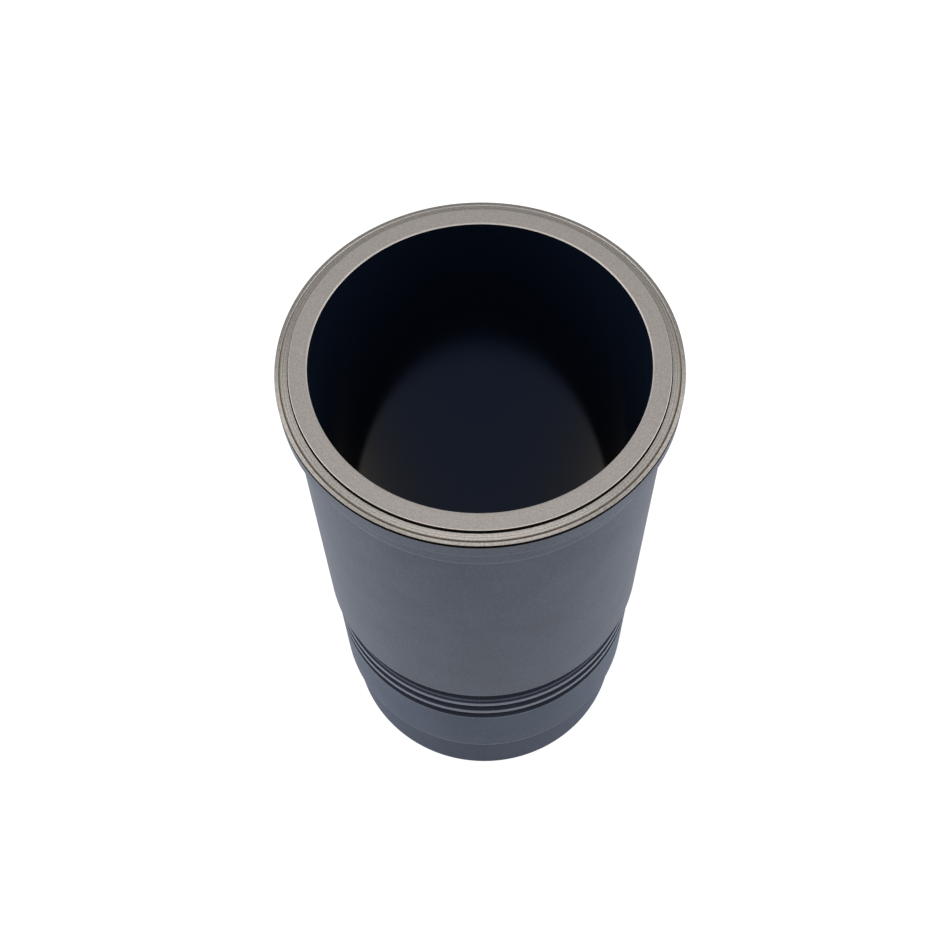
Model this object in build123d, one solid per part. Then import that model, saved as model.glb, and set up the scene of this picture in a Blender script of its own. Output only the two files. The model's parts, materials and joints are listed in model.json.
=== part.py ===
"""Wet cylinder liner for a heavy-duty diesel engine, as one turned centrifugal iron casting.

The axis is +Z and the origin is the centre of the lower end face, on which the liner stands.
Every form is a turned one: a closed half section is revolved, and the seal grooves are then
plunged into the outside by ring cutters, as a form tool would do it.
"""

import os

from build123d import *

# Bore and overall length
bore_diameter = 139.7
overall_length = 295.6

# Radial thickness of the iron outside the bore, band by band
body_wall = 9.05
upper_pilot_rise = 0.15  # the press-fit band stands this much proud of the body
lower_pilot_drop = 1.3  # the packing lands lie this much inside the body
skirt_wall = 4.7
flange_reach = 13.35  # from the bore to the flange rim

# Flange and the raised land that clamps the head gasket
flange_thickness = 9.1  # from the gasket ledge down to the seat
land_width = 7.65
land_height = 1.7
rim_ring_width = 1.9  # from the middle of the turned line in the ledge out to the rim
gauge_line_width = 0.8
gauge_line_depth = 0.4
rim_drop = 0.2  # the ring outside the turned line is cut this much lower

# Heights below the flange seat
upper_pilot_length = 15.6
seat_relief_width = 2.2  # undercut that lets the flange seat square
seat_relief_depth = 0.6
seat_to_seals = 166.0

# Upper groove for the crevice seal, with the low land on which its lip lies
crevice_groove_width = 12.2
crevice_groove_wall = 4.0  # iron left between its floor and the bore
lip_land_width = 2.7
lip_land_drop = 1.2  # below the packing lands

# Two packing-ring grooves under it
ring_groove_width = 7.3
ring_groove_depth = 4.3
ring_land_width = 3.2

# Lower pilot and the lead-in below it
lower_pilot_length = 43.2
lead_in_length = 6.6

# Edges
bore_top_chamfer = 0.5
bore_end_chamfer_width = 0.8
bore_end_chamfer_length = 3.0
edge_break = 0.25
step_chamfer = 0.4
groove_corner = 0.6  # 45 degree facet between a groove's wall and its floor
skirt_chamfer = 0.8

# Radii that follow from the sizes above
bore_radius = bore_diameter / 2
body_radius = bore_radius + body_wall
upper_pilot_radius = body_radius + upper_pilot_rise
lower_pilot_radius = body_radius - lower_pilot_drop
skirt_radius = bore_radius + skirt_wall
flange_radius = bore_radius + flange_reach
land_radius = bore_radius + land_width
gauge_line_radius = flange_radius - rim_ring_width
lip_land_radius = lower_pilot_radius - lip_land_drop
ring_floor_radius = lower_pilot_radius - ring_groove_depth
crevice_floor_radius = bore_radius + crevice_groove_wall

# Heights that follow, from the lower end face
land_z = overall_length
ledge_z = land_z - land_height
rim_z = ledge_z - rim_drop
seat_z = ledge_z - flange_thickness
seat_relief_end_z = seat_z - seat_relief_width
upper_pilot_end_z = seat_z - upper_pilot_length
crevice_top_z = seat_z - seat_to_seals
crevice_end_z = crevice_top_z - crevice_groove_width
first_ring_land_z = crevice_end_z - lip_land_width
ring_groove_pitch = ring_land_width + ring_groove_width
ring_groove_tops = [first_ring_land_z - ring_land_width - n * ring_groove_pitch for n in range(2)]
lower_pilot_z = ring_groove_tops[-1] - ring_groove_width
lower_pilot_end_z = lower_pilot_z - lower_pilot_length
skirt_top_z = lower_pilot_end_z - lead_in_length


def half_section():
    """Points (radius, height) once round the iron, from the bore mouth clockwise."""
    gauge_inner = gauge_line_radius - gauge_line_width / 2
    gauge_outer = gauge_line_radius + gauge_line_width / 2
    top_face = [
        (bore_radius, land_z - bore_top_chamfer),
        (bore_radius + bore_top_chamfer, land_z),
        (land_radius - edge_break, land_z),
        (land_radius, land_z - edge_break),
        (land_radius, ledge_z),
        (gauge_inner, ledge_z),
        (gauge_line_radius, rim_z - gauge_line_depth),
        (gauge_outer, rim_z),
        (flange_radius - edge_break, rim_z),
        (flange_radius, rim_z - edge_break),
    ]
    flange_seat = [
        (flange_radius, seat_z + edge_break),
        (flange_radius - edge_break, seat_z),
        (upper_pilot_radius, seat_z),
        (upper_pilot_radius - seat_relief_depth, seat_z - seat_relief_depth),
        (upper_pilot_radius - seat_relief_depth, seat_relief_end_z + seat_relief_depth),
        (upper_pilot_radius, seat_relief_end_z),
    ]
    barrel = [
        (upper_pilot_radius, upper_pilot_end_z + upper_pilot_rise),
        (body_radius, upper_pilot_end_z),
        (body_radius, crevice_top_z + step_chamfer),
        (body_radius - step_chamfer, crevice_top_z),
        (lower_pilot_radius, crevice_top_z),
    ]
    lower_end = [
        (lower_pilot_radius, lower_pilot_end_z),
        (skirt_radius, skirt_top_z),
        (skirt_radius, skirt_chamfer),
        (skirt_radius - skirt_chamfer, 0),
        (bore_radius + bore_end_chamfer_width, 0),
        (bore_radius, bore_end_chamfer_length),
    ]
    return top_face + flange_seat + barrel + lower_end


def turned(points):
    """The solid swept by a closed outline of (radius, height) points round the axis."""
    with BuildPart() as solid:
        with BuildSketch(Plane.XZ):
            with BuildLine():
                Polyline(*points, close=True)
            make_face()
        revolve(axis=Axis.Z)
    return solid.part


def ring_cutter(top_z, width, floor_radius, lip_radius):
    """What a form tool removes: square walls, eased floor corners and broken lips."""
    bottom_z = top_z - width
    outline = [
        (floor_radius, top_z),
        (lip_radius - edge_break, top_z),
        (lip_radius + edge_break, top_z + 2 * edge_break),
        (lip_radius + edge_break, bottom_z - 2 * edge_break),
        (lip_radius - edge_break, bottom_z),
        (floor_radius, bottom_z),
    ]
    with BuildPart() as cutter:
        with BuildSketch(Plane.XZ) as section:
            with BuildLine():
                Polyline(*outline, close=True)
            make_face()
            floor_corners = section.vertices().sort_by(Axis.X)[:2]
            chamfer(floor_corners, groove_corner)
        revolve(axis=Axis.Z)
    return cutter.part


def crevice_cutter():
    """The crevice-seal groove and its low lip land, which open into each other."""
    outside = body_radius + edge_break
    land_edge_radius = lower_pilot_radius - edge_break
    outline = [
        (crevice_floor_radius, crevice_top_z),
        (outside, crevice_top_z),
        (outside, first_ring_land_z - (outside - land_edge_radius)),
        (land_edge_radius, first_ring_land_z),
        (lip_land_radius, first_ring_land_z),
        (lip_land_radius, crevice_end_z - edge_break),
        (lip_land_radius - edge_break, crevice_end_z),
        (crevice_floor_radius, crevice_end_z),
    ]
    with BuildPart() as cutter:
        with BuildSketch(Plane.XZ) as section:
            with BuildLine():
                Polyline(*outline, close=True)
            make_face()
            floor_corners = section.vertices().sort_by(Axis.X)[:2]
            chamfer(floor_corners, groove_corner)
        revolve(axis=Axis.Z)
    return cutter.part


liner = turned(half_section())
liner -= crevice_cutter()
for groove_top in ring_groove_tops:
    liner -= ring_cutter(groove_top, ring_groove_width, ring_floor_radius, lower_pilot_radius)

liner.label = "cylinder_liner"
os.makedirs("parts", exist_ok=True)
export_step(liner, "parts/cylinder_liner.step")

print("length", overall_length, "flange diameter", 2 * flange_radius)
print("pilots", 2 * upper_pilot_radius, 2 * lower_pilot_radius, "skirt", 2 * skirt_radius)
print("seat at", round(seat_z, 3), "crevice groove", round(crevice_top_z, 3), round(crevice_end_z, 3))
print("ring grooves from", [round(z, 3) for z in ring_groove_tops], "pilot ends", round(lower_pilot_end_z, 3))
print("volume", round(liner.volume), "mm3")
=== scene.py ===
# %% [markdown]
# # A wet cylinder liner in its real finishes
# A wet liner is a turned sleeve of grey iron. It hangs by its flange in the engine block, coolant
# washes its barrel, and a piston runs in its bore. It is one piece of metal, but it was cut,
# ground, honed and coated in turn, and each of those jobs left another surface. So this lesson has
# one mesh and several materials, one for each job.
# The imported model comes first: it gives the frame, the main sizes and the box to stay inside.

# %% Load the frame
import json
import math

import bpy
from mathutils import Matrix, Vector


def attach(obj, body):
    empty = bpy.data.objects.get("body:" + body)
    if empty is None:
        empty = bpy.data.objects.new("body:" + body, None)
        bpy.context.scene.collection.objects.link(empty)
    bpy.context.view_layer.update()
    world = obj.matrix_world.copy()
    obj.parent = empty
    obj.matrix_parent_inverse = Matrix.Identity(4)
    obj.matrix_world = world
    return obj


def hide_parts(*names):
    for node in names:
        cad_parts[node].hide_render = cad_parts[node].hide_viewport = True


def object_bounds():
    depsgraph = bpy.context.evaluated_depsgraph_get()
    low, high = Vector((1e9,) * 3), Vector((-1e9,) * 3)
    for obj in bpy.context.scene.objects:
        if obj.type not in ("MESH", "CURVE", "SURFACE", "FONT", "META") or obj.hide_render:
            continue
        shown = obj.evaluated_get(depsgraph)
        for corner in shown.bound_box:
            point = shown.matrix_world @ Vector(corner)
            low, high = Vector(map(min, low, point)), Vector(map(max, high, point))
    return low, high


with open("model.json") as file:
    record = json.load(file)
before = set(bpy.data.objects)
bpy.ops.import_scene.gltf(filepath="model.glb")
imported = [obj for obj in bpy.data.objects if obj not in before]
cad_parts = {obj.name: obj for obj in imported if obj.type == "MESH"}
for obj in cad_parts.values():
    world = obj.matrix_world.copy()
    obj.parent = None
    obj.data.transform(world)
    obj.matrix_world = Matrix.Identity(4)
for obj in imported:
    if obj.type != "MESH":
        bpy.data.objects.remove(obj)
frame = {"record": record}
cad_box = [list(corner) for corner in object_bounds()]
MM = 0.001
print("frame box in mm", [[round(c / MM, 2) for c in corner] for corner in cad_box])

# %% [markdown]
# ## Fits
# A turned part is drawn as radii and heights, here in millimetres. The fits that another part
# touches are read from the frame's mounts, so they can't drift. The small cuts between those fits
# are named in the cells that draw them.

# %% Fits from the frame
mounts = {mount["name"]: mount for mount in frame["record"]["mounts"]}
bore_radius = mounts["cylinder_bore"]["dims"]["r_mm"]
upper_pilot_radius = mounts["pilot_and_barrel"]["dims"]["r_mm"]
lower_pilot_radius = mounts["lower_pilot"]["dims"]["r_mm"]
land_z = mounts["gasket_land"]["pos_m"][2] / MM
seat_z = mounts["flange_seat"]["pos_m"][2] / MM
flange_radius = round(cad_box[1][0] / MM, 2)
print("bore", 2 * bore_radius, "flange", 2 * flange_radius, "length", land_z, "seat", seat_z)

# %% [markdown]
# ## The section
# On the real liner a lathe tool follows this line. It is written as stretches, each with the finish
# that the real surface has, and each stretch starts where the last one ended. Sharp edges on real
# iron are always broken, and a broken edge is what catches light, so `eased` turns a corner into a
# small arc. A Bevel modifier would also do it, but it can't tell a worn lip from an inner corner.
# Smooth shading would let such an arc bleed across the wide face beside it, so `held` adds a loop
# close to each end of a straight run.

# %% Edge helpers
EDGE_STEPS = 3
HOLD_MM = 0.12
HOLD_SHARE = 0.2  # a straight is held only where the loops take less of it than this
edge_break = 0.25


def eased(start, corner, end):
    """Points of a small arc from start to end that bulges towards corner."""
    points = []
    for step in range(EDGE_STEPS + 1):
        t = step / EDGE_STEPS
        near, far = (1 - t) ** 2, t ** 2
        middle = 1 - near - far
        points.append(tuple(near * a + middle * b + far * c for a, b, c in zip(start, corner, end)))
    return points


def held(points):
    """The same line with a point close to each end of every long straight, to shade it flat."""
    line = [points[0]]
    for start, end in zip(points, points[1:]):
        share = HOLD_MM / math.dist(start, end)
        if share < HOLD_SHARE:
            for t in (share, 1 - share):
                line.append(tuple(a + t * (b - a) for a, b in zip(start, end)))
        line.append(end)
    return line


print("an edge is an arc of", EDGE_STEPS + 1, "points,", edge_break, "mm wide")

# %% [markdown]
# ## Top face
# From the bore's mouth outwards come a small chamfer, the ground land that clamps the head gasket,
# a step down to the faced ledge, a turned line in it, and the ring beside the rim. The corner under
# the land and a band down the rim are painted near black, as painted shade, like the step's wall.
# Those bands are stretches of their own, though no cut marks them, because paint on a mask would
# blur where the real line is crisp.

# %% Top face
mouth_chamfer = 0.5
land_width, land_height = 7.65, 1.7
corner_shade = 0.5  # painted shade in the corner where the land meets the ledge
rim_ring_width, rim_drop = 1.9, 0.2
gauge_line_half_width, gauge_line_depth = 0.4, 0.4
rim_band = 1.8  # height of the band of painted shade round the rim

land_radius = bore_radius + land_width
ledge_z = land_z - land_height
rim_z = ledge_z - rim_drop
gauge_line_radius = flange_radius - rim_ring_width
mouth_start = (bore_radius, land_z - mouth_chamfer)
mouth_end = (bore_radius + mouth_chamfer, land_z)
land_edge = eased(
    (land_radius - edge_break, land_z),
    (land_radius, land_z),
    (land_radius, land_z - edge_break),
)
corner_end = (land_radius + corner_shade, ledge_z)
line_inner = (gauge_line_radius - gauge_line_half_width, ledge_z)
line_floor = (gauge_line_radius, rim_z - gauge_line_depth)
line_outer = (gauge_line_radius + gauge_line_half_width, rim_z)
rim_edge = eased(
    (flange_radius - edge_break, rim_z),
    (flange_radius, rim_z),
    (flange_radius, rim_z - edge_break),
)
rim_band_end = (flange_radius, rim_z - rim_band)
top = [
    ("mouth", [mouth_start, mouth_end]),
    ("land", [mouth_end, land_edge[0]]),
    ("land_edge", land_edge),
    ("step", [land_edge[-1], (land_radius, ledge_z), corner_end]),
    ("ledge", [corner_end, line_inner]),
    ("gauge", [line_inner, line_floor]),
    ("flank", [line_floor, line_outer]),
    ("ring", [line_outer] + rim_edge[:2]),
    ("step", rim_edge[1:] + [rim_band_end]),
]
print("top face:", len(top), "stretches, ledge at", round(ledge_z, 2), "rim at", round(rim_z, 2))

# %% [markdown]
# ## Flange and upper pilot
# The flange's underside is the seat by which the liner hangs in the block. An undercut beside it
# keeps the corner clear, so that the seat lies flat. The band below fits the block tightly. Its
# lower lip is painted lighter, as a painted highlight where its rounded edge catches the light, so
# the last bit of it is a stretch of its own.

# %% Flange and upper pilot
relief_width, relief_depth = 2.2, 0.6
upper_pilot_length, upper_pilot_rise = 15.6, 0.15
lip_highlight = 0.8  # how far the painted highlight on a pilot lip reaches

body_radius = upper_pilot_radius - upper_pilot_rise
upper_pilot_end_z = seat_z - upper_pilot_length
seat_edge = eased(
    (flange_radius, seat_z + edge_break),
    (flange_radius, seat_z),
    (flange_radius - edge_break, seat_z),
)
seat_corner = (upper_pilot_radius, seat_z)
upper_lip = (upper_pilot_radius, upper_pilot_end_z + lip_highlight)
body_top = (body_radius, upper_pilot_end_z)
flange = [
    ("flange", [rim_band_end, seat_edge[0]]),
    ("edge", seat_edge),
    ("seat", [seat_edge[-1], seat_corner]),
    ("flange", [
        seat_corner,
        (upper_pilot_radius - relief_depth, seat_z - relief_depth),
        (upper_pilot_radius - relief_depth, seat_z - relief_width + relief_depth),
        (upper_pilot_radius, seat_z - relief_width),
        upper_lip,
    ]),
    ("ring_land", [
        upper_lip,
        (upper_pilot_radius, upper_pilot_end_z + upper_pilot_rise),
        body_top,
    ]),
]
print("flange and upper pilot:", len(flange), "stretches down to", round(upper_pilot_end_z, 2))

# %% [markdown]
# ## Barrel and crevice groove
# The barrel stands in the coolant and touches nothing. Below it, three grooves hold the rings that
# keep coolant out of the crankcase. The first is a wide one for the crevice seal, and a low land
# for its lip opens into it.

# %% Barrel and crevice groove
seat_to_seals = 166.0
crevice_groove_width, crevice_groove_wall = 12.2, 4.0
lip_land_width, lip_land_drop = 2.7, 1.2
step_chamfer, groove_corner = 0.4, 0.6

crevice_top_z = seat_z - seat_to_seals
crevice_end_z = crevice_top_z - crevice_groove_width
crevice_floor_radius = bore_radius + crevice_groove_wall
lip_land_radius = lower_pilot_radius - lip_land_drop
first_ring_land_z = crevice_end_z - lip_land_width
crevice_lip = eased(
    (body_radius, crevice_top_z + step_chamfer),
    (body_radius, crevice_top_z),
    (body_radius - step_chamfer, crevice_top_z),
)
lip_land_edge = eased(
    (lip_land_radius - edge_break, crevice_end_z),
    (lip_land_radius, crevice_end_z),
    (lip_land_radius, crevice_end_z - edge_break),
)
lip_land_end = (lip_land_radius, first_ring_land_z)
ring_land_edge = eased(
    (lower_pilot_radius - edge_break, first_ring_land_z),
    (lower_pilot_radius, first_ring_land_z),
    (lower_pilot_radius, first_ring_land_z - edge_break),
)
crevice = [
    crevice_lip[-1],
    (crevice_floor_radius + groove_corner, crevice_top_z),
    (crevice_floor_radius, crevice_top_z - groove_corner),
    (crevice_floor_radius, crevice_end_z + groove_corner),
    (crevice_floor_radius + groove_corner, crevice_end_z),
]
barrel = [
    ("coat", [body_top, crevice_lip[0]]),
    ("edge", crevice_lip),
    ("groove", crevice + lip_land_edge),
    ("coat", [lip_land_edge[-1], lip_land_end]),
    ("groove", [lip_land_end, ring_land_edge[0]]),
    ("ring_land", ring_land_edge),
]
print("barrel and crevice groove:", len(barrel), "stretches down to", round(first_ring_land_z, 2))

# %% [markdown]
# ## Packing-ring grooves
# Two square grooves hold packing rings. A form tool plunges them in, one a pitch below the other,
# so one function draws a groove and a loop makes both. The upper wall, the floor and part of the
# way out along the lower wall are painted darkest, as painted shade deep in the groove.

# %% Packing-ring grooves
RING_GROOVES = 2
ring_land_width, ring_groove_width, ring_groove_depth = 3.2, 7.3, 4.3
ROOT_MM = 1.9  # how far out the painted shade reaches on a groove's lower wall


def groove(top_z, width, floor_radius, lip_radius):
    """Stretches down one packing-ring groove, from its upper lip to its lower lip."""
    end_z = top_z - width
    wall_radius = lip_radius - edge_break
    corner_radius = floor_radius + groove_corner
    lip_above = eased((lip_radius, top_z + edge_break), (lip_radius, top_z), (wall_radius, top_z))
    bottom = eased(
        (corner_radius, top_z), (floor_radius, top_z), (floor_radius, top_z - groove_corner)
    ) + eased(
        (floor_radius, end_z + groove_corner), (floor_radius, end_z), (corner_radius, end_z)
    )
    root_end = (floor_radius + ROOT_MM, end_z)
    lip_below = eased((wall_radius, end_z), (lip_radius, end_z), (lip_radius, end_z - edge_break))
    return [
        ("ring_land", lip_above),
        ("root", [lip_above[-1]] + bottom + [root_end]),
        ("groove", [root_end, lip_below[0]]),
        ("ring_land", lip_below),
    ]


ring_pitch = ring_land_width + ring_groove_width
land_start = ring_land_edge[-1]
grooves = []
for number in range(RING_GROOVES):
    groove_top_z = first_ring_land_z - ring_land_width - number * ring_pitch
    grooves.append(("ring_land", [land_start, (lower_pilot_radius, groove_top_z + edge_break)]))
    grooves += groove(
        groove_top_z, ring_groove_width, lower_pilot_radius - ring_groove_depth, lower_pilot_radius
    )
    land_start = grooves[-1][1][-1]
print(RING_GROOVES, "grooves:", len(grooves), "stretches")

# %% [markdown]
# ## Foot
# The lower pilot centres the liner in the block, and a cone leads it in. The skirt below is thinner
# and hangs free in the crankcase. The pilot's lower lip has the same painted highlight as the upper
# one. The last stretch goes up the bore and closes the section at the mouth.

# %% Foot
lower_pilot_end_z = 39.7
lead_in_length = 6.6
skirt_wall, skirt_chamfer = 4.7, 0.8
bore_end_chamfer_width, bore_end_chamfer_length = 0.8, 3.0

skirt_radius = bore_radius + skirt_wall
skirt_top = (skirt_radius, lower_pilot_end_z - lead_in_length)
lead_in_slope = (lower_pilot_radius - skirt_radius) / lead_in_length
pilot_end = eased(
    (lower_pilot_radius, lower_pilot_end_z + lip_highlight),
    (lower_pilot_radius, lower_pilot_end_z),
    (lower_pilot_radius - lead_in_slope * lip_highlight, lower_pilot_end_z - lip_highlight),
)
skirt_edge = eased(
    (skirt_radius, skirt_chamfer),
    (skirt_radius, 0),
    (skirt_radius - skirt_chamfer, 0),
)
end_face_inner = (bore_radius + bore_end_chamfer_width, 0)
bore_end = (bore_radius, bore_end_chamfer_length)
foot = [
    ("pilot", [land_start, pilot_end[0]]),
    ("ring_land", pilot_end),
    ("skirt", [pilot_end[-1], skirt_top, skirt_edge[0]]),
    ("edge", skirt_edge),
    ("seat", [skirt_edge[-1], end_face_inner]),
    ("edge", [end_face_inner, bore_end]),
    ("bore", [bore_end, mouth_start]),
]
section = [(job, held(points)) for job, points in top + flange + barrel + grooves + foot]
neighbours = zip(section, section[1:] + section[:1])
widest_gap = max(math.dist(before[1][-1], after[1][0]) for before, after in neighbours)
point_count = sum(len(points) for _, points in section)
print(len(section), "stretches,", point_count, "points, widest gap", round(widest_gap, 6))

# %% [markdown]
# ## Turning it
# The section is swept round the axis as rings of vertices, as a lathe sweeps its tool. 360 steps
# leave the rim less than 0.004 mm inside the true circle, so no facet shows in a reflection. Each
# stretch hands its finish to the faces that it sweeps, as a material slot.

# %% Sweep the section
STEPS = 360
SHARP_DEGREES = 25
FINISHES = [
    "mouth", "land", "land_edge", "ledge", "flank", "ring", "seat", "step", "gauge",
    "flange", "coat", "ring_land", "groove", "root", "pilot", "skirt", "edge", "bore",
]


def turned_mesh(name, stretches):
    """A closed mesh swept from stretches of (finish, points) round the Z axis."""
    outline, slot_of_band = [], []
    for job, points in stretches:
        for point in points[:-1]:
            outline.append(point)
            slot_of_band.append(FINISHES.index(job))
    turns = [2 * math.pi * step / STEPS for step in range(STEPS)]
    vertices = [
        (radius * math.cos(turn) * MM, radius * math.sin(turn) * MM, height * MM)
        for turn in turns
        for radius, height in outline
    ]
    count = len(outline)
    faces, slots = [], []
    for step in range(STEPS):
        here, there = step * count, (step + 1) % STEPS * count
        for band in range(count):
            after = (band + 1) % count
            faces.append((here + band, here + after, there + after, there + band))
            slots.append(slot_of_band[band])
    mesh = bpy.data.meshes.new(name)
    mesh.from_pydata(vertices, [], faces)
    mesh.polygons.foreach_set("material_index", slots)
    mesh.update()
    return mesh


liner_mesh = turned_mesh("liner_casting", section)
liner_mesh.shade_smooth()
liner_mesh.set_sharp_from_angle(angle=math.radians(SHARP_DEGREES))
liner = bpy.data.objects.new("liner_casting", liner_mesh)
bpy.context.scene.collection.objects.link(liner)
print(len(liner_mesh.vertices), "vertices,", 2 * len(liner_mesh.polygons), "triangles")

# %% [markdown]
# ## Tools for the finishes
# Colours are written as sRGB hex, as a paint card gives them, and Blender's shaders want linear
# light, so `linear` turns one into the other. `add` adds a node with its settings and links, which
# keeps each material below short enough to read. `finish` starts a material, and `repeats` turns a
# pattern's real size into the Scale that a texture wants, which counts repeats in a metre.

# %% Colour and node helpers
def linear(hex_colour):
    """A linear RGBA colour from sRGB hex such as #5a606b."""
    channels = [int(hex_colour[i:i + 2], 16) / 255 for i in (1, 3, 5)]
    return [c / 12.92 if c <= 0.04045 else ((c + 0.055) / 1.055) ** 2.4 for c in channels] + [1.0]


def add(tree, kind, inputs=None, **settings):
    """Adds a node. inputs maps a socket's name or number to a value, a socket, or a node, which
    stands for its first output.
    """
    made = tree.nodes.new(kind)
    for name, value in settings.items():
        setattr(made, name, value)
    for socket, value in (inputs or {}).items():
        if isinstance(value, bpy.types.Node):
            value = value.outputs[0]
        if isinstance(value, bpy.types.NodeSocket):
            tree.links.new(value, made.inputs[socket])
        else:
            made.inputs[socket].default_value = value
    return made


def finish(name, **constants):
    """A new material with a Principled shader whose constant sockets are set directly."""
    material = bpy.data.materials.new(name)
    material.use_nodes = True
    shader = material.node_tree.nodes["Principled BSDF"]
    for socket, value in constants.items():
        shader.inputs[socket.replace("_", " ")].default_value = value
    return material, material.node_tree, shader


def repeats(size_mm):
    """How many patterns of this size lie in a metre."""
    return 1 / (size_mm * MM)


print("a mid grey, #808080, is", round(linear("#808080")[0], 3), "in linear light")

# %% [markdown]
# ## Phosphated iron
# The whole outside is manganese-phosphated after turning: a thin crust of dark crystals that holds
# oil and keeps rust off. It is no metal to the eye but a matte slate grey, slightly blue, with
# soft clouds where the bath took better and a fine grain of crystals. The turning marks still show
# through as faint rings. Crystals are about 10 micrometres across, far too fine to draw, so the
# grain here is a hundred times coarser, and the rings stand 0.9 mm apart instead of 0.2.
# The coat isn't one grey. The lands between the grooves are painted lighter, as a painted highlight
# where they catch the light. The grooves are painted darker and their roots darkest, as painted
# shade, and the foot is a little darker and duller, as painted shade. A vertical wall seen from
# above mirrors the pale floor at a low angle, so a lower specular level is what darkens the foot
# there, and its colour can stay close to the barrel's.

# %% Phosphate coat
CLOUD_MM, GRAIN_MM, RING_MM = 26.0, 1.0, 0.9
CLOUD_SHARE, GRAIN_SHARE = 0.35, 0.65
CRUST_RANGE = (0.36, 0.64)  # noise stays near its middle, so this part of it spans both greys
RING_RELIEF = 0.6  # how much the turning marks stand out beside the grain
CRUST_MM, CRUST_STRENGTH = 0.05, 0.25


def phosphate(name, dark, light, roughness, gloss=0.15):
    """Manganese-phosphated grey iron between two greys; gloss is its crystals' specular level."""
    material, tree, shader = finish(
        name, Roughness=roughness, Metallic=0.0, IOR=1.5, Specular_IOR_Level=gloss
    )
    place = add(tree, "ShaderNodeTexCoord").outputs["Object"]
    cloud = add(tree, "ShaderNodeTexNoise", {
        "Vector": place, "Scale": repeats(CLOUD_MM), "Detail": 4.0,
    })
    grain = add(tree, "ShaderNodeTexNoise", {
        "Vector": place, "Scale": repeats(GRAIN_MM), "Detail": 3.0,
    })
    height = add(tree, "ShaderNodeSeparateXYZ", {0: place}).outputs["Z"]
    ring_count = add(tree, "ShaderNodeMath", {0: height, 1: repeats(RING_MM)}, operation="MULTIPLY")
    rings = add(tree, "ShaderNodeTexNoise", {
        "W": ring_count, "Scale": 1.0, "Detail": 1.0,
    }, noise_dimensions="1D")
    speckle = add(tree, "ShaderNodeMath", {0: grain, 1: GRAIN_SHARE}, operation="MULTIPLY")
    tone = add(tree, "ShaderNodeMath", {
        0: cloud, 1: CLOUD_SHARE, 2: speckle,
    }, operation="MULTIPLY_ADD")
    spread = add(tree, "ShaderNodeMapRange", {
        "Value": tone, "From Min": CRUST_RANGE[0], "From Max": CRUST_RANGE[1],
    })
    colour = add(tree, "ShaderNodeMix", {
        "Factor": spread, "A": linear(dark), "B": linear(light),
    }, data_type="RGBA")
    tree.links.new(colour.outputs["Result"], shader.inputs["Base Color"])
    relief = add(tree, "ShaderNodeMath", {
        0: rings, 1: RING_RELIEF, 2: grain,
    }, operation="MULTIPLY_ADD")
    bump = add(tree, "ShaderNodeBump", {
        "Height": relief, "Strength": CRUST_STRENGTH, "Distance": CRUST_MM * MM,
    })
    tree.links.new(bump.outputs[0], shader.inputs["Normal"])
    return material


coats = {
    "coat": phosphate("phosphated_iron_barrel", "#474d5a", "#575f6f", 0.5),
    "flange": phosphate("phosphated_iron_flange_and_pilot", "#4f5562", "#5f6776", 0.5),
    # lighter grey: painted highlight on the lands and lips
    "ring_land": phosphate("phosphated_iron_ring_lands", "#646b7a", "#727989", 0.45),
    # darker greys: painted shade in the grooves, darkest at their roots
    "groove": phosphate("phosphated_iron_grooves", "#2b2f39", "#383c47", 0.6, gloss=0.1),
    "root": phosphate("oiled_phosphate_groove_roots", "#141926", "#1d2432", 0.6, gloss=0.0),
    "pilot": phosphate("phosphated_iron_lower_pilot", "#485162", "#576274", 0.5, gloss=0.05),
    # darker than the barrel: painted shade towards the foot
    "skirt": phosphate("phosphated_iron_skirt", "#3b4456", "#495266", 0.5, gloss=0.05),
}
print("coats:", [coat.name for coat in coats.values()])

# %% [markdown]
# ## Faced and ground iron
# After coating, the top is machined again so that the head gasket seals on clean metal. The land is
# ground, the ledge beside it only faced, so it keeps the tool's rings. Bare grey iron is a warm
# light grey, never as bright as steel, because graphite flakes break up its surface. Rings on a
# flat face follow the radius, so the pattern is driven by the distance from the axis. Real feed
# marks are 0.1 mm apart and are drawn 0.5 mm apart here, so that they show. A facing tool leaves
# them as a fine sawtooth whose long sides face a few degrees outwards. Those sides do the shining,
# so the shading normal leans out by that angle, and the face changes tone as it goes round.
# Modelled marks would do the same and cost a hundred more rings of faces.
# Worn chamfers and edges show bare iron, lighter than the coat. The land's broken edge and the
# gauge line's outer flank are painted lighter than the faces beside them, as painted highlights
# where they catch the light. The mouth's chamfer is stoned by hand, which scatters its gloss and
# rounds it into the land, so it is rougher and leans out too. The seat under the flange and the end
# face are only turned, so they are rougher and darker.

# %% Machined faces
FEED_MM, FLAKE_MM = 0.5, 0.7
TONE_REACH = 0.25  # how far the noise goes either side of its middle to reach both greys
MARK_STRENGTH = 0.4


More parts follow.
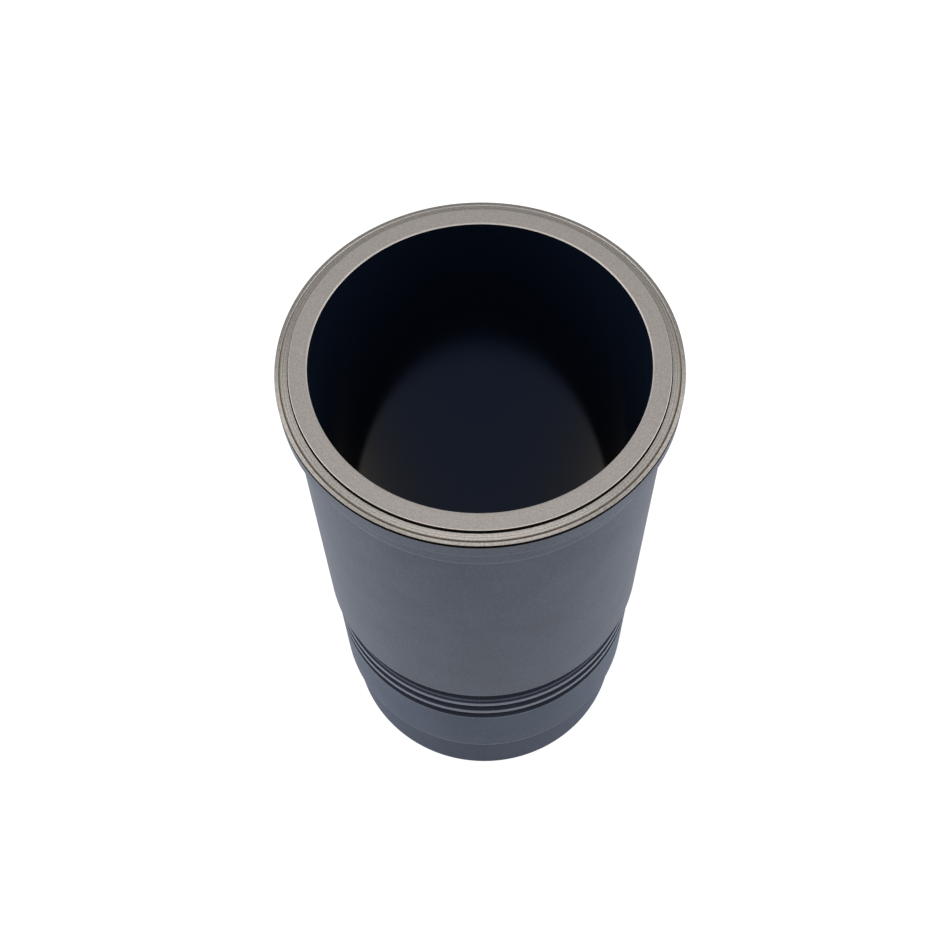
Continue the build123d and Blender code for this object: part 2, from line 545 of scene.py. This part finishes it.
def machined(name, dark, light, roughness, relief_mm, lean=0.0, ring_share=0.4):
    """Bare turned or ground grey iron with rings round the axis.

    lean is how far its feed marks face outwards, in degrees.
    ring_share weighs the rings against the graphite flakes.
    """
    material, tree, shader = finish(name, Roughness=roughness, Metallic=1.0)
    place = add(tree, "ShaderNodeTexCoord").outputs["Object"]
    flat = add(tree, "ShaderNodeVectorMath", {0: place, 1: (1.0, 1.0, 0.0)}, operation="MULTIPLY")
    radius = add(tree, "ShaderNodeVectorMath", {0: flat}, operation="LENGTH").outputs["Value"]
    ring_count = add(tree, "ShaderNodeMath", {0: radius, 1: repeats(FEED_MM)}, operation="MULTIPLY")
    rings = add(tree, "ShaderNodeTexNoise", {
        "W": ring_count, "Scale": 1.0, "Detail": 2.0,
    }, noise_dimensions="1D")
    flakes = add(tree, "ShaderNodeTexNoise", {
        "Vector": place, "Scale": repeats(FLAKE_MM), "Detail": 4.0,
    })
    tone = add(tree, "ShaderNodeMath", {
        0: rings, 1: ring_share, 2: flakes,
    }, operation="MULTIPLY_ADD")
    middle = 0.5 + 0.5 * ring_share  # each noise averages a half
    spread = add(tree, "ShaderNodeMapRange", {
        "Value": tone, "From Min": middle - TONE_REACH, "From Max": middle + TONE_REACH,
    })
    colour = add(tree, "ShaderNodeMix", {
        "Factor": spread, "A": linear(dark), "B": linear(light),
    }, data_type="RGBA")
    tree.links.new(colour.outputs["Result"], shader.inputs["Base Color"])
    outward = add(tree, "ShaderNodeVectorMath", {0: flat}, operation="NORMALIZE")
    push = add(tree, "ShaderNodeVectorMath", {
        0: outward, "Scale": math.tan(math.radians(lean)),
    }, operation="SCALE")
    surface = add(tree, "ShaderNodeNewGeometry").outputs["Normal"]
    leaning = add(tree, "ShaderNodeVectorMath", {0: surface, 1: push}, operation="ADD")
    facet = add(tree, "ShaderNodeVectorMath", {0: leaning}, operation="NORMALIZE")
    bump = add(tree, "ShaderNodeBump", {
        "Height": tone, "Normal": facet, "Strength": MARK_STRENGTH, "Distance": relief_mm * MM,
    })
    tree.links.new(bump.outputs[0], shader.inputs["Normal"])
    return material


irons = {
    "mouth": machined("chamfered_grey_iron_mouth", "#918c87", "#a19c97", 0.6, 0.005, lean=15.0),
    "land": machined("ground_grey_iron_land", "#89837f", "#a09a96", 0.3, 0.01),
    # lighter than the land: painted highlight on its broken edge
    "land_edge": machined("broken_edge_of_ground_iron", "#9c958e", "#afa8a1", 0.3, 0.005),
    "ledge": machined(
        "faced_grey_iron_ledge", "#686460", "#8d8883", 0.3, 0.02, lean=9.0, ring_share=0.8
    ),
    # lighter than the ledge: painted highlight on the gauge line's outer side
    "flank": machined("turned_grey_iron_flank", "#9a9590", "#b0aba6", 0.48, 0.005),
    "ring": machined(
        "faced_grey_iron_ring", "#65615e", "#87827d", 0.3, 0.02, lean=13.0, ring_share=0.8
    ),
    "seat": machined("turned_grey_iron_seat", "#504d4a", "#6f6b67", 0.55, 0.02),
    "edge": machined("worn_grey_iron_edges", "#7b7f86", "#8e929a", 0.4, 0.005),
}
print("machined:", [iron.name for iron in irons.values()])

# %% [markdown]
# ## Steps and the gauge line
# The short wall under the land, the turned gauge line and the rim's edge were cut before the
# coating. They are painted dark, as painted shade, so they read as thin dark lines. On the wall and
# the rim the specular level is nothing, because at a low angle even a weak gloss mirrors the pale
# room and turns black to grey. The line lies flatter and is only half dark, so it keeps the coat's
# gloss.

# %% Cuts in painted shade
cuts = {
    # near black: painted shade on the step's wall, its corner and the rim band
    "step": phosphate("oiled_phosphate_steps", "#0f0d0c", "#1a1715", 0.6, gloss=0.0),
    # dark brown: painted shade in the gauge line
    "gauge": phosphate("oiled_phosphate_gauge_line", "#4a423a", "#645a50", 0.5),
}
print("dark cuts:", [cut.name for cut in cuts.values()])

# %% [markdown]
# ## Honed bore
# Stones on an expanding head turn and stroke at once, which leaves two sets of fine helical
# scratches that cross. The plateau between them is nearly a mirror: the bore reflects its own
# dark wall, and lower down the floor under the liner, as a pale arch. The iron is painted
# blue-black, as painted shade, through its numbers: a dark blue base colour, less than full
# Metallic, no gloss of its own, and a Specular Tint that holds back what the iron mirrors at a low
# angle. Each family of scratches is a sine of the angle round the axis and the height, and a whole
# number of starts makes it meet itself without a seam. An image of them would need unwrapping. Real
# scratches are under 0.1 mm apart; these are 0.7 to 1.2 mm apart round the bore, so that they show.

# %% Honed bore
HONE_ANGLE = math.radians(30)
HONE_STARTS = (367, 521, 631)
HANDS = (-1, 1)
HONE_MM, HONE_STRENGTH = 0.004, 0.1
SCRATCH_PEAK = 4.0  # six sines seldom add up to more
# less than full Metallic darkens the bore: part of its painted shade
PAINTED_SHADE_METALLIC = 0.65
GLOSS_SPREAD = 0.02


def honed(name, colour_hex, edge_hex, roughness):
    """Plateau-honed grey iron, darkened as painted shade; edge_hex tints what it mirrors at a low
    angle.
    """
    material, tree, shader = finish(name, Metallic=PAINTED_SHADE_METALLIC, Specular_IOR_Level=0.0)
    shader.inputs["Base Color"].default_value = linear(colour_hex)
    shader.inputs["Specular Tint"].default_value = linear(edge_hex)
    place = add(tree, "ShaderNodeTexCoord").outputs["Object"]
    axes = add(tree, "ShaderNodeSeparateXYZ", {0: place}).outputs
    turn = add(tree, "ShaderNodeMath", {0: axes["Y"], 1: axes["X"]}, operation="ARCTAN2")
    total = None
    for starts in HONE_STARTS:
        rise = starts / (bore_radius * MM * math.tan(HONE_ANGLE))
        for hand in HANDS:
            climb = add(tree, "ShaderNodeMath", {
                0: axes["Z"], 1: hand * rise,
            }, operation="MULTIPLY")
            phase = add(tree, "ShaderNodeMath", {
                0: turn, 1: float(starts), 2: climb,
            }, operation="MULTIPLY_ADD")
            scratch = add(tree, "ShaderNodeMath", {0: phase}, operation="SINE")
            if total is None:
                total = scratch
            else:
                total = add(tree, "ShaderNodeMath", {0: total, 1: scratch}, operation="ADD")
    bump = add(tree, "ShaderNodeBump", {
        "Height": total, "Strength": HONE_STRENGTH, "Distance": HONE_MM * MM,
    })
    tree.links.new(bump.outputs[0], shader.inputs["Normal"])
    gloss = add(tree, "ShaderNodeMapRange", {
        "Value": total, "From Min": -SCRATCH_PEAK, "From Max": SCRATCH_PEAK,
        "To Min": roughness - GLOSS_SPREAD, "To Max": roughness + GLOSS_SPREAD,
    })
    tree.links.new(gloss.outputs[0], shader.inputs["Roughness"])
    return material


# blue-black base and held-back reflection: painted shade in the bore
bore_iron = honed("plateau_honed_bore", "#1a2436", "#cac5bb", 0.12)
print("bore:", bore_iron.name, "with", len(HANDS) * len(HONE_STARTS), "families of scratches")

# %% [markdown]
# ## Dressing the mesh
# The slots go on in the order of FINISHES, so that each face finds its own. The dressed liner then
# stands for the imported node, and moves with the only body that there is.

# %% Slots, frame and body
dress = {**coats, **irons, **cuts, "bore": bore_iron}
for job in FINISHES:
    liner_mesh.materials.append(dress[job])
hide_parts("cylinder_liner")
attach(liner, "root")
print(liner.name, "wears", len(liner_mesh.materials), "finishes")

# %% [markdown]
# ## Studio floor
# The floor and the room look white, and they look white in the metal too: rays from the camera and
# glossy or transmitted rays see them at full strength. They light the liner at less than half of
# that, so that its colours render about as they are written. A brighter lamp would also whiten the
# floor, but it would wash out the iron. The floor lies a tenth of a millimetre under the end face,
# because two faces in one plane would flicker.

# %% Floor
WHITE = (1.0, 1.0, 1.0, 1.0)
FLOOR_RADIUS_M, FLOOR_STEPS, FLOOR_GAP_MM = 1.2, 96, 0.1
FLOOR_LIFT = 0.8


def background_rays(tree):
    """1 for rays that show the background, straight, mirrored in metal or through glass, else 0."""
    path = add(tree, "ShaderNodeLightPath").outputs
    straight = add(tree, "ShaderNodeMath", {
        0: path["Is Camera Ray"], 1: path["Is Glossy Ray"],
    }, operation="ADD")
    return add(tree, "ShaderNodeMath", {
        0: straight, 1: path["Is Transmission Ray"],
    }, operation="ADD", use_clamp=True)


floor_mesh = bpy.data.meshes.new("studio_floor")
turns = [2 * math.pi * step / FLOOR_STEPS for step in range(FLOOR_STEPS)]
floor_rim = [
    (FLOOR_RADIUS_M * math.cos(turn), FLOOR_RADIUS_M * math.sin(turn), -FLOOR_GAP_MM * MM)
    for turn in turns
]
floor_mesh.from_pydata(floor_rim, [], [tuple(range(FLOOR_STEPS))])
floor = bpy.data.objects.new("studio_floor", floor_mesh)
bpy.context.scene.collection.objects.link(floor)
floor_paper, tree, shader = finish("pale_floor_paper", Roughness=0.9, Metallic=0.0)
shader.inputs["Base Color"].default_value = linear("#8c8c8c")
shader.inputs["Emission Color"].default_value = WHITE
lift = add(tree, "ShaderNodeMath", {0: background_rays(tree), 1: FLOOR_LIFT}, operation="MULTIPLY")
tree.links.new(lift.outputs[0], shader.inputs["Emission Strength"])
floor_mesh.materials.append(floor_paper)
print("floor:", FLOOR_RADIUS_M, "m in radius,", FLOOR_GAP_MM, "mm under the liner")

# %% [markdown]
# ## Room
# The world is the room round the studio. It is as white as the floor for the rays that show it and
# a dim, even fill for all others.

# %% Room
ROOM_LEVEL = 0.45

world = bpy.data.worlds.new("studio_room")
bpy.context.scene.world = world
world.use_nodes = True
tree = world.node_tree
background = tree.nodes["Background"]
glow = add(tree, "ShaderNodeMapRange", {
    "Value": background_rays(tree), "To Min": ROOM_LEVEL, "To Max": 1.0,
})
background.inputs["Color"].default_value = WHITE
tree.links.new(glow.outputs[0], background.inputs["Strength"])
print("room: lights at", ROOM_LEVEL, "and shows at 1")

# %% [markdown]
# ## Softboxes
# Large softboxes stand at both sides, which makes the barrel darkest in the middle and lighter
# towards its outline. A smaller one hangs overhead, and the feed marks that lean towards the front
# catch it.

# %% Softboxes
def softbox(name, place, width, height, watts):
    """An area lamp that faces the middle of the liner, with its place and sides in metres."""
    lamp = bpy.data.lights.new(name, "AREA")
    lamp.shape = "RECTANGLE"
    lamp.size, lamp.size_y = width, height
    lamp.energy = watts
    stand = bpy.data.objects.new(name, lamp)
    stand.location = place
    aim = Vector((0, 0, land_z * MM / 2)) - Vector(place)
    stand.rotation_euler = aim.to_track_quat("-Z", "Y").to_euler()
    bpy.context.scene.collection.objects.link(stand)
    return stand


stands = [
    softbox("softbox_left", (-1.6, 0.1, 1.2), 2.0, 2.2, 35),
    softbox("softbox_right", (1.6, 0.1, 1.2), 2.0, 2.2, 29),
    softbox("softbox_top", (0.0, -0.15, 2.3), 1.3, 1.3, 9.0),
]
print("softboxes:", [(stand.name, stand.data.energy) for stand in stands])

# %% [markdown]
# ## Camera
# It looks down into the bore from the front at about 61 degrees, and stands so close that the foot
# looks much smaller than the mouth. The focal length is written in pixels of a 950 pixel frame and
# turned into millimetres here. The two small turns set how level the camera is held, and a shift of
# half a pixel puts the axis on the middle of the frame.

# %% Camera
CAMERA_MM = (0.0, -309.2, 754.4)
LOOK_DOWN = math.radians(60.891)
TURN, ROLL = math.radians(0.256), math.radians(-0.932)
FOCAL_PX, IMAGE_PX, SENSOR_MM = 1365.6, 950, 36.0
HALF_PIXEL = 0.5 / IMAGE_PX

camera_data = bpy.data.cameras.new("camera")
camera_data.sensor_width = SENSOR_MM
camera_data.lens = FOCAL_PX * SENSOR_MM / IMAGE_PX
camera_data.shift_x, camera_data.shift_y = -HALF_PIXEL, HALF_PIXEL
camera = bpy.data.objects.new("camera", camera_data)
bpy.context.scene.collection.objects.link(camera)
stance = Matrix.Translation(Vector(CAMERA_MM) * MM)
stance = stance @ Matrix.Rotation(math.pi / 2 - LOOK_DOWN, 4, "X")
stance = stance @ Matrix.Rotation(TURN, 4, "Y") @ Matrix.Rotation(ROLL, 4, "Z")
camera.matrix_world = stance
bpy.context.scene.camera = camera
bpy.context.scene.view_settings.view_transform = "Standard"
print("lens", round(camera_data.lens, 2), "mm on a", SENSOR_MM, "mm sensor")
